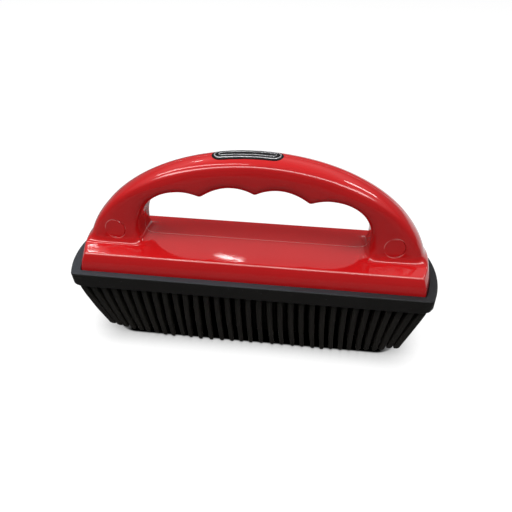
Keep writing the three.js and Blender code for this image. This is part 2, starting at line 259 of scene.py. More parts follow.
def paintedHighlightLines(board, where):
    ridge, seam, ring = red["ridge"], red["seam"], red["ring"]
    depth = board.along(where, "Y")
    across = board.size(depth)
    up = board.along(where, "Z")
    ridgeUp = (lipTop + handle["wallHeight"]) * mm
    onRidge = board.band(across, deckHalf * mm, ridge["reach"]) * board.band(up, ridgeUp, ridge["rise"])
    onSeam = board.band(across, 0.0, seam["reach"]) * board.fade(up, *seam["top"])
    sideways = board.size(board.along(where, "X")) - handle["plugX"] * mm
    upward = up - (lipTop + handle["plugZ"]) * mm
    apart = board.squareRoot(sideways * sideways + upward * upward)
    onRing = board.band(apart, handle["wellRadius"] * mm, ring["reach"])
    onRing *= board.fade(depth, *ring["front"])
    onRing *= board.ramp(board.noise(where, red["ringPatchScale"], detail=1), red["ringPatches"])
    return onRidge * ridge["strength"] + onSeam * seam["strength"] + onRing * ring["strength"]


def redPlastic():
    material, board = newFinish("red_moulded_plastic")
    where = board.place()
    cloud = board.noise(where, red["cloudScale"], detail=2)
    peel = board.noise(where, red["peelScale"], detail=2)
    streaks = board.noise(board.place(red["scuffStretch"]), red["scuffScale"], detail=4, rough=0.6)
    scuffs = board.ramp(streaks, red["scuffMarks"])
    dust = board.ramp(board.noise(where, red["dustScale"], detail=2), red["dustSpecks"])
    colour = board.mix(cloud, red["deep"], red["bright"])
    # the painted highlight lines are mixed into the colour here
    colour = board.mix(paintedHighlightLines(board, where), colour, red["paintedHighlight"])
    surface(
        board,
        Base_Color=board.mix(dust * red["dustShare"], colour, red["dust"]),
        Roughness=red["roughness"] + cloud * red["cloudRoughness"] + scuffs * red["scuffRoughness"],
        IOR=red["ior"],
        Normal=board.bump(peel, red["peelStrength"]),
    )
    return material


# Black rubber, and a browner copy of it for the bristles that is lightened as painted light; dust and a painted
# sheen on what faces up, with more painted light to the left
rubber = {
    "black_rubber": ((0.0055, 0.0051, 0.0047, 1), (0.0093, 0.0087, 0.0081, 1)),
    # the bristles' copy: browner, and lighter as painted light for the shade they stand in
    "bristle_rubber_painted_lighter": ((0.0104, 0.0092, 0.0078, 1), (0.0148, 0.0132, 0.0113, 1)),
    "cloudScale": 40,
    "speck": (0.10, 0.10, 0.10, 1),
    "speckScale": 900,
    "speckMarks": ((0.70, 0), (0.78, 1)),
    "speckShare": 0.25,
    # colour of the dust and of the painted sheen on what faces up
    "dust": (0.044, 0.050, 0.060, 1),
    "dustAndSheenFacing": ((0.35, 0), (0.95, 1)),  # upward part of the face's direction, dust and painted sheen
    "dustAndSheenLeast": 0.23,
    "paintedLightMore": 0.47,  # painted light added on the left, and thinning out to the right
    "paintedLightFades": (0.0, 0.075),
    "dustAndSheenCloud": (0.7, 0.4),
    "roughness": 0.46,
    "cloudRoughness": 0.16,
    "specular": 0.16,
    "grainScale": 1800,
    "grainStrength": 0.15,
}


def blackRubber(name):
    material, board = newFinish(name)
    where = board.place()
    cloud = board.noise(where, rubber["cloudScale"])
    grain = board.noise(where, rubber["grainScale"], detail=2)
    specks = board.ramp(board.noise(where, rubber["speckScale"], detail=2), rubber["speckMarks"])
    facing = board.node("ShaderNodeNewGeometry", {}, {}, "Normal")
    # dust and painted sheen on upward faces, with painted light stronger to the left
    dust = board.ramp(board.along(facing, "Z"), rubber["dustAndSheenFacing"])
    paintedLightLeft = board.fade(board.along(where, "X"), *rubber["paintedLightFades"])
    dust *= rubber["dustAndSheenLeast"] + paintedLightLeft * rubber["paintedLightMore"]
    even, clouded = rubber["dustAndSheenCloud"]
    colour = board.mix(cloud, *rubber[name])
    colour = board.mix(specks * rubber["speckShare"], colour, rubber["speck"])
    surface(
        board,
        Base_Color=board.mix(dust * (even + cloud * clouded), colour, rubber["dust"]),
        Roughness=rubber["roughness"] + cloud * rubber["cloudRoughness"],
        Specular_IOR_Level=rubber["specular"],
        Normal=board.bump(grain, rubber["grainStrength"]),
    )
    return material


# Plainer finishes: two shades clouded by one fine noise, which roughens them too
gloss = {
    "dark": (0.0035, 0.0035, 0.0040, 1),
    "pale": (0.0075, 0.0075, 0.0085, 1),
    "hazeScale": 220,
    "roughness": 0.16,
    "hazeRoughness": 0.12,
    "specular": 0.08,
    "rippleScale": 900,
    "rippleStrength": 0.04,
}


def blackGloss():
    material, board = newFinish("badge_black_gloss")
    where = board.place()
    haze = board.noise(where, gloss["hazeScale"])
    ripple = board.noise(where, gloss["rippleScale"], detail=2)
    surface(
        board,
        Base_Color=board.mix(haze, gloss["dark"], gloss["pale"]),
        Roughness=gloss["roughness"] + haze * gloss["hazeRoughness"],
        Specular_IOR_Level=gloss["specular"],
        Normal=board.bump(ripple, gloss["rippleStrength"]),
    )
    return material


trim = {
    "dark": (0.62, 0.62, 0.64, 1),
    "pale": (0.76, 0.76, 0.78, 1),
    "wearScale": 500,
    "roughness": 0.36,
    "wearRoughness": 0.12,
}


def brightTrim():
    material, board = newFinish("bright_trim")
    wear = board.noise(board.place(), trim["wearScale"])
    surface(
        board,
        Base_Color=board.mix(wear, trim["dark"], trim["pale"]),
        Roughness=trim["roughness"] + wear * trim["wearRoughness"],
        Metallic=1.0,
    )
    return material


plate = {
    "dark": (0.020, 0.020, 0.022, 1),
    "pale": (0.032, 0.032, 0.035, 1),
    "grainScale": 700,
    "roughness": 0.48,
    "grainRoughness": 0.15,
    "grainStrength": 0.1,
}


def darkPlastic():
    material, board = newFinish("dark_plate_plastic")
    grain = board.noise(board.place(), plate["grainScale"])
    surface(
        board,
        Base_Color=board.mix(grain, plate["dark"], plate["pale"]),
        Roughness=plate["roughness"] + grain * plate["grainRoughness"],
        Normal=board.bump(grain, plate["grainStrength"]),
    )
    return material


steel = {
    "dark": (0.46, 0.46, 0.48, 1),
    "pale": (0.62, 0.62, 0.64, 1),
    "turnedStretch": (1, 1, 12),
    "turnedScale": 900,
    "roughness": 0.26,
    "turnedRoughness": 0.2,
}


def platedSteel():
    material, board = newFinish("plated_screw_steel")
    turned = board.noise(board.place(steel["turnedStretch"]), steel["turnedScale"])
    surface(
        board,
        Base_Color=board.mix(turned, steel["dark"], steel["pale"]),
        Roughness=steel["roughness"] + turned * steel["turnedRoughness"],
        Metallic=1.0,
    )
    return material


finishes = {
    "red_plastic": redPlastic(),
    "black_rubber": blackRubber("black_rubber"),
    "bristle_rubber_painted_lighter": blackRubber("bristle_rubber_painted_lighter"),
    "badge_black": blackGloss(),
    "bright_trim": brightTrim(),
    "plate_plastic": darkPlastic(),
    "screw_steel": platedSteel(),
}
print("finishes:", len(finishes))


# Mesh helpers
def toMesh(name, bm):
    mesh = bpy.data.meshes.new(name)
    bm.to_mesh(mesh)
    bm.free()
    return mesh


def addObject(name, data):
    added = bpy.data.objects.new(name, data)
    scene.collection.objects.link(added)
    return added


def newPiece(name, bm, slot, matrix=toFrame, finish=None):
    bmesh.ops.transform(bm, matrix=matrix, verts=bm.verts)
    mesh = toMesh(name, bm)
    mesh.materials.append(finishes[finish or slot])
    mesh.shade_smooth()
    piece = addObject(name, mesh)
    return piece


def subdivide(piece, levels):
    rounding = piece.modifiers.new("rounding", "SUBSURF")
    rounding.levels = levels
    rounding.render_levels = levels


def evenShading(piece):  # keeps the flats flat beside rounded edges
    piece.modifiers.new("evenShading", "WEIGHTED_NORMAL").keep_sharp = True


def drawChain(bm, points):
    verts = [bm.verts.new(point) for point in points]
    for pair in zip(verts, verts[1:]):
        bm.edges.new(pair)
    return verts


def vertsOf(geom):
    return [item for item in geom if isinstance(item, bmesh.types.BMVert)]


def edgesOf(geom):
    return [item for item in geom if isinstance(item, bmesh.types.BMEdge)]


def edgesWhere(bm, fits):
    return [edge for edge in bm.edges if all(fits(vert) for vert in edge.verts)]


def sweep(bm, chain, places):  # draws an edge chain out to new places
    edges = [bm.edges.get(pair) for pair in zip(chain, chain[1:])]
    fresh = set(vertsOf(bmesh.ops.extrude_edge_only(bm, edges=edges)["geom"]))
    drawn = []
    for vert, place in zip(chain, places):
        twin = next(e.other_vert(vert) for e in vert.link_edges if e.other_vert(vert) in fresh)
        twin.co = place
        drawn.append(twin)
    return drawn


def thicken(bm, faces, way):  # draws flat faces out into a solid
    made = bmesh.ops.extrude_face_region(bm, geom=faces)["geom"]
    bmesh.ops.translate(bm, vec=way, verts=vertsOf(made))
    bmesh.ops.recalc_face_normals(bm, faces=bm.faces)


def roundOff(bm, geom, reach, segments, affect="EDGES"):
    bmesh.ops.bevel(
        bm,
        geom=geom,
        offset=reach,
        offset_type="OFFSET",
        segments=segments,
        profile=0.5,
        affect=affect,
        material=-1,
    )


def wholeOf(bm):
    return bm.verts[:] + bm.edges[:] + bm.faces[:]


def mirrorOver(bm, axis):
    bmesh.ops.mirror(bm, geom=wholeOf(bm), axis=axis, merge_dist=near)


def blendTo(first, second, share):
    return first + (second - first) * share


def bowRadius(half, bow):
    return (half**2 + bow**2) / (2 * bow)


# Handle: one quarter of a shell is drawn as a cage, mirrored and rounded by subdivision
cage = {
    "deckInner": (13, 26, 36, 43.5),  # lines along the deck, from the middle out to the leg
    "deckOuter": 69.5,  # the last one before the end
    "endInset": 1.0,
    "deckAcross": (13.0, 16.0),  # lines between the leg's face and the deck's edge
    "footRise": 0.4,  # of the leg's lowest ring towards its inside
    "footLevels": (12.4, 14.2),  # inner corner and inside of that ring
    # next rings: height outside, at the inner corner and inside
    "legLevels": ((13.0, 15.0, 17.0), (16.4, 17.8, 19.4), (20.2, 21.3, 22.4)),
    # sections of the shoulder: degrees round its inside, x outside
    "shoulder": ((35, 65.4), (50, 60.4), (65, 54.0), (78, 47.4), (90, 41.0)),
    # sections of the grip: x inside, closer together at the cusps
    "grip": (28.5, 25.8, 24.2, 22.9, 21.6, 19.8, 17.0, 13.8, 10.6, 7.4, 4.6, 2.6, 1.2, 0),
    "gripSpread": 1.3,  # x outside over x inside
}
baseEndRadius = bowRadius(handle["wallFoot"], handle["endBow"])


def footEndAt(y):  # x of the base's end, bowed in plan
    return handle["baseHalf"] - baseEndRadius + math.sqrt(baseEndRadius**2 - y**2)


def deckEndAt(y):
    return footEndAt(y * handle["wallFoot"] / deckHalf) - handle["wallLean"]


def archOuter(x):  # height of the arch's outside
    share = (abs(x) / handle["archHalf"]) ** handle["archPower"]
    return handle["archHeight"] * (1 - share) ** (1 / handle["archPower"])


def archOuterX(z):
    share = (z / handle["archHeight"]) ** handle["archPower"]
    return handle["archHalf"] * (1 - share) ** (1 / handle["archPower"])


def archFace(z):  # half of the arch's thickness
    return handle["faceHalf"] - handle["faceDraft"] * z


legFoot = archFace(handle["wallHeight"]) + handle["legFlare"]  # half of the leg's thickness on the deck


def deckZ(y):  # height of the deck, crowned to the middle
    share = abs(y) / deckHalf
    fall = blendTo(share, share**2, handle["deckCrown"])
    return handle["wallHeight"] + handle["deckRise"] * (1 - fall)


def gripUnder(x):  # height of the grip's underside with its finger grooves
    if x < handle["cuspX"]:
        share = x / handle["cuspX"]
        chord = blendTo(handle["middleCuspZ"], handle["cuspZ"], share)
        return chord + handle["grooveRise"] * 4 * share * (1 - share)
    share = (handle["shoulderX"] - x) / (handle["shoulderX"] - handle["cuspX"])
    return handle["shoulderZ"] - (handle["shoulderZ"] - handle["cuspZ"]) * share**2


def shoulder(degrees):  # superellipse from the leg's inside up to the outer groove
    turn = math.radians(degrees)
    power = 2 / handle["shoulderPower"]
    across = (handle["legInner"] - handle["shoulderX"]) * math.cos(turn) ** power
    up = (handle["shoulderZ"] - handle["shoulderFoot"]) * math.sin(turn) ** power
    return handle["shoulderX"] + across, handle["shoulderFoot"] + up


def legInnerX(z):  # inside of the leg, up into the shoulder
    if z <= handle["shoulderFoot"]:
        return handle["legInner"]
    rise = (z - handle["shoulderFoot"]) / (handle["shoulderZ"] - handle["shoulderFoot"])
    share = (1 - rise ** handle["shoulderPower"]) ** (1 / handle["shoulderPower"])
    return blendTo(handle["shoulderX"], handle["legInner"], share)


def ringPoint(degrees):
    turn = math.radians(degrees)
    reach = handle["ringRadius"]
    return handle["plugX"] + reach * math.cos(turn), handle["plugZ"] + reach * math.sin(turn)


def gripSection(outer, inner):  # from the seam outside, over the front, to the seam inside
    ox, oz = outer
    ix, iz = inner
    length = math.hypot(ix - ox, iz - oz)
    ux, uz = (ix - ox) / length, (iz - oz) / length

    def at(depth, y):
        return ox + ux * depth, -y, oz + uz * depth

    def onFace(depth, inset=0.0):
        return at(depth, archFace(oz + uz * depth) - inset)

    section = [at(handle["seamSink"], handle["seamHalf"]), at(0, handle["seamRound"])]
    section.append(at(0, handle["topShare"] * archFace(oz)))
    section += [onFace(depth, inset) for inset, depth in handle["outerEdge"]]
    first, last = handle["outerEdge"][-1][1], length - handle["innerEdge"][0][1]
    section += [onFace(blendTo(first, last, share)) for share in handle["faceShares"]]
    section += [onFace(length - depth, inset) for inset, depth in handle["innerEdge"]]
    section += [at(length, share * archFace(iz)) for share in handle["innerShares"]]
    section += [at(length, handle["seamRound"]), at(length - handle["seamSink"], handle["seamHalf"])]
    return section


def legSection(front, outerZ, cornerZ, innerZ):  # the same on the leg, round the plug
    ox, ix = archOuterX(outerZ), legInnerX(innerZ)
    face, sink = archFace(outerZ), handle["seamSink"]
    section = [(ox - sink, -handle["seamHalf"], outerZ), (ox, -handle["seamRound"], outerZ)]
    section.append((ox, -handle["topShare"] * face, outerZ))
    section += [(ox - depth, inset - face, outerZ) for inset, depth in handle["outerEdge"]]
    section += [(x, -archFace(z), z) for x, z in front]
    beforeCorner = (front[-1][1] + cornerZ) / 2
    for (inset, depth), z in zip(handle["innerEdge"], (beforeCorner, cornerZ)):
        section.append((legInnerX(z) + depth, inset - archFace(z), z))
    face = archFace(innerZ)
    section += [(ix, -share * face, innerZ) for share in handle["innerShares"]]
    section += [(ix, -handle["seamRound"], innerZ), (ix + sink, -handle["seamHalf"], innerZ)]
    return section


def legStations():  # sections from the leg's foot up to the middle of the grip
    plugX, plugZ, reach = handle["plugX"], handle["plugZ"], handle["ringRadius"]
    low = deckZ(legFoot) + handle["legFillet"]
    ring = {degrees: ringPoint(degrees) for degrees in range(0, 360, 45)}
    fronts = [
        [(plugX + reach, low), (plugX, low), (plugX - reach, low + cage["footRise"])],
        [ring[315], ring[270], ring[225]],
        [ring[0], (plugX, plugZ), ring[180]],
        [ring[45], ring[90], ring[135]],
    ]
    levels = [(low, *cage["footLevels"]), *cage["legLevels"]]
    stations = [legSection(front, *level) for front, level in zip(fronts, levels)]
    for degrees, outerX in cage["shoulder"]:
        stations.append(gripSection((outerX, archOuter(outerX)), shoulder(degrees)))
    for x in cage["grip"]:
        outerX = cage["gripSpread"] * x
        stations.append(gripSection((outerX, archOuter(outerX)), (x, gripUnder(x))))
    return stations


def drawDeck(bm):  # gives the chain on which the leg stands and the deck's edge
    plugX, reach = handle["plugX"], handle["ringRadius"]
    shares = reversed(handle["innerShares"])
    yLines = [handle["seamRound"], *(share * legFoot for share in shares), legFoot]
    corner = len(yLines)  # place of the leg's corner in a line that starts at the seam's lip
    yLines += [*cage["deckAcross"], deckHalf - handle["deckEdge"], deckHalf]
    outerLines = [handle["legInner"] + handle["innerEdge"][0][1], plugX - reach, plugX, plugX + reach]
    outerLines.append(cage["deckOuter"])
    endLines = [legFoot - handle["outerEdge"][0][0], handle["topShare"] * legFoot, handle["seamRound"]]

    def deckLine(x, lines):
        return [(x, -y, deckZ(y)) for y in lines]

    def endLine(inset, lines):
        return [(deckEndAt(y) - inset, -y, deckZ(y)) for y in lines]

    def fullLine(x):
        lip = (x, -handle["seamHalf"], deckZ(0) - handle["seamSink"])
        return [lip, *deckLine(x, yLines)]

    chain = drawChain(bm, fullLine(0))
    frontEdge = [chain[-1]]
    for x in (*cage["deckInner"], handle["legInner"]):
        chain = sweep(bm, chain, fullLine(x))
        frontEdge.append(chain[-1])
    legRoot = chain[: corner + 1]
    chain = chain[corner:]
    fromLeg = yLines[corner - 1 :]
    outward = [deckLine(x, fromLeg) for x in outerLines]
    outward += [endLine(inset, fromLeg) for inset in (cage["endInset"], 0.0)]
    for places in outward:
        chain = sweep(bm, chain, places)
        frontEdge.append(chain[-1])
        legRoot.append(chain[0])
    endEdge = chain[-2::-1]
    endLip = (deckEndAt(0) - handle["seamSink"], -handle["seamHalf"], deckZ(0))
    legOuter = drawChain(bm, [*endLine(0.0, endLines), endLip])
    bm.edges.new((endEdge[-1], legOuter[0]))
    return legRoot + legOuter, frontEdge + endEdge + legOuter


def drawWall(bm, rim):  # leans out below the deck's edge
    height = handle["wallHeight"]
    tops = [vert.co.copy() for vert in rim]
    for drop, lean in (*handle["wallCurve"], (height, 1.0), (height + handle["skirt"], 1.0)):
        out = handle["wallLean"] * lean
        places = []
        for top in tops:
            z = height - drop if drop > handle["deckEdge"] else top.z - drop
            places.append((top.x * (1 + out / deckEndAt(0)), top.y * (1 + out / deckHalf), z))
        rim = sweep(bm, rim, places)


def sinkWell(bm):  # opens the leg's face into a round well for the plug
    middle = Vector((handle["plugX"], -archFace(handle["plugZ"]), handle["plugZ"]))
    centre = min(bm.verts, key=lambda vert: (vert.co - middle).length)
    bmesh.ops.dissolve_verts(bm, verts=[centre])
    well = max(bm.faces, key=lambda face: len(face.verts))
    rim, edge = handle["wellRadius"], handle["wellEdge"]
    for radius, depth in ((rim + edge, 0), (rim, edge), (rim, handle["wellDepth"])):
        bmesh.ops.inset_individual(bm, faces=[well], thickness=handle["wellInset"])
        for vert in well.verts:
            flat = Vector((vert.co.x - middle.x, 0, vert.co.z - middle.z)).normalized() * radius
            z = middle.z + flat.z
            vert.co = (middle.x + flat.x, depth - archFace(z), z)


def quarterCage():
    bm = bmesh.new()
    legRoot, rim = drawDeck(bm)
    drawWall(bm, rim)
    chain = legRoot[::-1]
    for places in legStations():
        chain = sweep(bm, chain, places)
    return bm


def handleShell(name, isFront):
    bm = quarterCage()
    if isFront:
        sinkWell(bm)
    mirrorOver(bm, "X")
    bmesh.ops.transform(bm, matrix=Matrix.Shear("XY", 4, (handle["skew"], 0)), verts=bm.verts)
    if not isFront:
        bmesh.ops.scale(bm, vec=(1, -1, 1), verts=bm.verts)
    bmesh.ops.remove_doubles(bm, verts=bm.verts, dist=near)
    bmesh.ops.recalc_face_normals(bm, faces=bm.faces)
    crown = max(bm.faces, key=lambda face: face.calc_center_median().z)
    if crown.normal.z < 0:
        bmesh.ops.reverse_faces(bm, faces=bm.faces)
    piece = newPiece(name, bm, "red_plastic", handleToFrame)
    subdivide(piece, handle["rounding"])
    wall = piece.modifiers.new("wall", "SOLIDIFY")
    wall.thickness = handle["wall"] * mm
    wall.offset = -1
    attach(piece, root)
    return piece


frontShell = handleShell("handle_front_casing", True)
rearShell = handleShell("handle_rear_casing", False)
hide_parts("handle_front_shell")
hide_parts("handle_rear_shell")
print("handle shells, cage faces:", len(frontShell.data.polygons), len(rearShell.data.polygons))


# Screw plugs: round discs flush with the legs
plug = {"radius": 4.3, "thickness": 2.0, "edge": 0.35, "edgeSteps": 3, "segments": 40}


def screwPlug(name, x):
    bm = bmesh.new()
    facing = Matrix.Rotation(math.pi / 2, 4, "X")
    radius, segments = plug["radius"], plug["segments"]
    bmesh.ops.create_circle(bm, cap_ends=True, radius=radius, segments=segments, matrix=facing)
    thicken(bm, bm.faces[:], (0, plug["thickness"], 0))
    rim = edgesWhere(bm, lambda vert: abs(vert.co.y) < near)
    roundOff(bm, rim, plug["edge"], plug["edgeSteps"])
    for vert in bm.verts:  # set on the leaning face
        vert.co.z += handle["plugZ"]
        vert.co.y -= archFace(vert.co.z)
        vert.co.x += x
    piece = newPiece(name + "_disc", bm, "red_plastic", handleToFrame)
    evenShading(piece)
    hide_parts(name)
    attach(piece, root)


screwPlug("screw_plug_left", -handle["plugX"])
screwPlug("screw_plug_right", handle["plugX"])
print("screw plugs: 2")


# Badge: a bare black plate with two fine bright borders, bent over the grip
badge = {
    "length": 30.0,
    "width": 9.0,
    "offset": -3.4,  # along the arch from the middle
    "foot": -0.8,  # sunk into the arch
    "forward": 0.6,  # set a little towards the front
    "proud": 0.25,
    "edge": 0.2,
    "edgeSteps": 4,
    "roundSteps": 36,
    "cutPitch": 1.4,
    "cutSnap": 0.0001,
    "slopeStep": 0.1,  # either way, to find the arch's slope
    "borders": ((0.95, 0.5), (2.9, 0.26)),  # distance in from the edge, width
    "borderProud": 0.16,
    "borderRound": 0.06,
    "borderSteps": 2,
    "borderFoot": 0.3,
    "creaseAngle": 0.5,
}


def badgePlan(bm, inset):  # a circle drawn apart into a plate with round ends
    radius, segments = badge["width"] / 2 - inset, badge["roundSteps"]
    reach = (badge["length"] - badge["width"]) / 2
    turn = Matrix.Rotation(math.pi / segments, 4, "Z")
    bmesh.ops.create_circle(bm, cap_ends=True, radius=radius, segments=segments, matrix=turn)
    for vert in bm.verts:
        vert.co.x += math.copysign(reach, vert.co.x)
    return bm.faces[:]


def overGrip(bm):  # cuts the flat shape both ways and bends it over the arch
    for size, axis in ((badge["length"], Vector((1, 0, 0))), (badge["width"], Vector((0, 1, 0)))):
        cut = -size / 2
        while cut < size / 2:
            cut += badge["cutPitch"]
            geom, snap = wholeOf(bm), badge["cutSnap"]
            bmesh.ops.bisect_plane(bm, geom=geom, dist=snap, plane_co=axis * cut, plane_no=axis)
    step = badge["slopeStep"]
    for vert in bm.verts:
        x = vert.co.x + badge["offset"]
        y = vert.co.y - badge["forward"]
        slope = (archOuter(x + step) - archOuter(x - step)) / (2 * step)
        lift = vert.co.z / math.hypot(1, slope)
        fall = y**2 / (2 * handle["crown"])
        vert.co = (x - slope * lift, y, archOuter(x) + lift - fall)


def badgePlate():
    bm = bmesh.new()
    thicken(bm, badgePlan(bm, 0), (0, 0, badge["proud"]))
    top = edgesWhere(bm, lambda vert: vert.co.z > near)
    roundOff(bm, top, badge["edge"], badge["edgeSteps"])
    for vert in bm.verts:
        if vert.co.z < near:
            vert.co.z = badge["foot"]
    overGrip(bm)
    piece = newPiece("badge_black_plate", bm, "badge_black", handleToFrame)
    evenShading(piece)
    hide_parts("badge_plate")
    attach(piece, root)


def badgeBorders():
    bm = bmesh.new()
    for inset, width in badge["borders"]:
        ring = bmesh.new()
        inner = badgePlan(ring, inset)
        bmesh.ops.inset_region(
            ring, faces=inner, thickness=width, use_boundary=True, use_even_offset=True
        )
        bmesh.ops.delete(ring, geom=inner, context="FACES")
        thicken(ring, ring.faces[:], (0, 0, badge["borderFoot"] + badge["borderProud"]))
        top = edgesWhere(ring, lambda vert: vert.co.z > near)
        creases = [edge for edge in top if edge.calc_face_angle(0) > badge["creaseAngle"]]
        roundOff(ring, creases, badge["borderRound"], badge["borderSteps"])
        bmesh.ops.translate(ring, vec=(0, 0, badge["proud"] - badge["borderFoot"]), verts=ring.verts)
        overGrip(ring)
        border = toMesh("border", ring)
        bm.from_mesh(border)
        bpy.data.meshes.remove(border)
    piece = newPiece("badge_bright_borders", bm, "bright_trim", handleToFrame)
    evenShading(piece)
    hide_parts("badge_rim")
    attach(piece, root)


badgePlate()
badgeBorders()
print("badge: plate and borders")


# Rubber pad: its wall's section is run along the side, round the corner and along the bowed end
pad = {
    "endBow": 5.2,
    "shift": -0.3,  # stretched on a little off the middle
    "cornerRadius": 2.2,
    "lowCorner": 7.0,  # radius at the lower edge
    "wall": 2.0,
    "floor": 1.9,
    "lip": 1.6,
    "mouthGap": 0.15,  # between the lip and the red base
    "edge": 0.8,
    "edgeSteps": 3,
    "mouthEdge": 0.3,
    "mouthSteps": 2,
    "cornerSteps": 8,
    "endSteps": 9,
    "weld": 0.005,
}
padSide = padHigh.y
endRadius = bowRadius(padSide, pad["endBow"])
endCentre = padHigh.x - endRadius


def padEndAt(y):
    return endCentre + math.sqrt(endRadius**2 - y**2)


def cornerCentre(radius):  # of a corner that runs into both the side and the bowed end
    y = padSide - radius
    return endCentre + math.sqrt((endRadius - radius) ** 2 - y**2), y


def padSections():
    cornerX, cornerY = cornerCentre(pad["cornerRadius"])
    lowX, lowY = cornerCentre(pad["lowCorner"])
    endTurn = math.atan2(cornerY, cornerX - endCentre)
    under = lipTop - pad["lip"]
    pocket = padSide - pad["wall"]
    section = [(padSide, padBottom), (padSide, lipTop), (padSide, lipTop), (padSide, under)]
    section += [(pocket, under), (pocket, padBottom + pad["floor"])]

    bm = bmesh.new()
    mouth = bm.verts.layers.int.new("mouth")
    side = drawChain(bm, [(0, y, z) for y, z in section])
    for vert in side[2:4]:  # the lip's inner edge
        vert[mouth] = 1
    for x in (lowX, (lowX + cornerX) / 2, cornerX):
        side = sweep(bm, side, [(x, y, z) for y, z in section])
    run = side + [bm.edges.get(pair) for pair in zip(side, side[1:])]
    for centre, angle, steps in (
        ((cornerX, cornerY, 0), math.pi / 2 - endTurn, pad["cornerSteps"]),
        ((endCentre, 0, 0), endTurn, pad["endSteps"]),
    ):
        made = bmesh.ops.spin(bm, geom=run, cent=centre, axis=(0, 0, -1), angle=angle, steps=steps)
        run = made["geom_last"]
    for vert in bm.verts:  # the lower edge's corner is drawn in to its own radius
        past = Vector((vert.co.x - lowX, vert.co.y - lowY, 0))
        outside = min(past.x, past.y) > 0 and past.length > pad["lowCorner"]
        if outside and vert.co.z < padBottom + near:
            vert.co += past * (pad["lowCorner"] / past.length - 1)
    foot, gap = handle["wallFoot"], pad["mouthGap"]
    for vert in bm.verts:  # the lip closes in round the base
        if vert[mouth]:
            vert.co.y = min(vert.co.y, foot)
            vert.co.x = min(vert.co.x, footEndAt(vert.co.y) + gap)
            vert.co.y = min(vert.co.y, foot - near) + gap * vert.co.y / foot
    return bm, mouth


def rubberPad():
    bm, mouth = padSections()
    mirrorOver(bm, "X")
    mirrorOver(bm, "Y")
    bmesh.ops.remove_doubles(bm, verts=bm.verts, dist=pad["weld"])
    bmesh.ops.holes_fill(bm, edges=bm.edges, sides=0)
    bmesh.ops.recalc_face_normals(bm, faces=bm.faces)
    for vert in bm.verts:
        if not vert[mouth]:
            vert.co.x += pad["shift"]

    def edgesAt(level, inMouth):
        return edgesWhere(bm, lambda vert: abs(vert.co.z - level) < near and vert[mouth] == inMouth)

    outside = edgesAt(lipTop, 0) + edgesAt(padBottom, 0)
    inside = edgesAt(lipTop, 1)
    roundOff(bm, outside, pad["edge"], pad["edgeSteps"])
    roundOff(bm, inside, pad["mouthEdge"], pad["mouthSteps"])
    piece = newPiece("rubber_pad_tray", bm, "black_rubber")
    evenShading(piece)
    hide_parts("rubber_pad")
    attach(piece, root)
    print("rubber pad:", len(piece.data.polygons), "faces")


rubberPad()


# Bristles: one rubber finger is drawn once, then set out in rows and leaned
bristles = {
    "pitch": 4.67,
    "endMargin": 4.2,  # from the pad's end to the last finger
    "rootSize": (2.5, 3.0),
    "tipSize": (2.05, 2.3),
    "chamfer": 0.26,  # of the half width
    # share of the length, fullness
    "levels": ((0.12, 1), (0.28, 1), (0.62, 1), (0.965, 0.97), (1.0, 0.6)),
    "sunk": 0.3,  # root held in the pad
    "endLean": 9.4,  # of the last finger's tip, inwards
    "endLeanStart": 25.0,
    "endTipRise": 4.4,
    "endSwell": 0.3,  # the end fingers are thicker along the row
    "sideLean": 1.0,
    "leanPower": 1.2,
    "drift": 1.7,  # the whole field leans a little to the right
    "seed": 29,
    "wobble": 0.16,
    "shortfall": 0.45,  # of the shortest fingers
    "ruffleAt": (-31.0, -21.2),  # a worn patch in the front row
    "ruffleReach": 11.0,
    "ruffle": 2.6,
    "rowShift": -1.25,  # rows stand a little out of line, so that no light comes straight through
    "rowTurn": 2.1,
    "rowShiftPower": 4,  # the ends of the rows stay where they are
    "bendDepth": 8.0,  # over which a leaning row turns
}
fieldSide = max(abs(joint["pos_m"][1]) for joint in frame["joints"]) / mm


def fingerMesh():
    bm = bmesh.new()
    bmesh.ops.create_grid(bm, x_segments=1, y_segments=1, size=1)
    roundOff(bm, bm.verts[:], bristles["chamfer"], 1, affect="VERTICES")
    rim = bm.edges[:]
    depth, fullness = 0.0, 1.0
    for share, full in bristles["levels"]:
        made = bmesh.ops.extrude_edge_only(bm, edges=rim)["geom"]
        ring = set(vertsOf(made))
        rim = [edge for edge in edgesOf(made) if set(edge.verts) <= ring]
        bmesh.ops.translate(bm, vec=(0, 0, depth - share), verts=list(ring))
        bmesh.ops.scale(bm, vec=(full / fullness, full / fullness, 1), verts=list(ring))
        depth, fullness = share, full
    bmesh.ops.holes_fill(bm, edges=rim, sides=0)
    bmesh.ops.recalc_face_normals(bm, faces=bm.faces)
    return toMesh("finger", bm)


def setFinger(bm, finger, rootX, rowY, rowEnd, chance):
    leanStart = bristles["endLeanStart"]
    toEnd = (max(abs(rootX) - leanStart, 0) / (rowEnd - leanStart)) ** 2
    wornX, wornY = bristles["ruffleAt"]
    worn = math.hypot(rootX - wornX, rowY - wornY) < bristles["ruffleReach"]
    wobble = bristles["wobble"] * (bristles["ruffle"] if worn else 1)
    leanX = -math.copysign(bristles["endLean"] * toEnd, rootX) + chance.gauss(0, wobble)
    leanY = -bristles["sideLean"] * rowY / fieldSide + chance.gauss(0, wobble)
    tipZ = bristles["endTipRise"] * toEnd + bristles["shortfall"] * chance.random() ** 2
    known = len(bm.verts)
    bm.from_mesh(finger)
    bm.verts.ensure_lookup_table()
    for vert in bm.verts[known:]:
        share = -vert.co.z
        sizes = zip(bristles["rootSize"], bristles["tipSize"])
        halfWidth, halfDepth = (blendTo(atRoot, atTip, share) / 2 for atRoot, atTip in sizes)
        halfWidth *= 1 + bristles["endSwell"] * toEnd
        bend = share ** bristles["leanPower"]
        x = rootX + leanX * bend + bristles["drift"] * share**2 + vert.co.x * halfWidth
        y = rowY + leanY * bend + vert.co.y * halfDepth
        vert.co = (x, y, blendTo(padBottom + bristles["sunk"], tipZ, share))


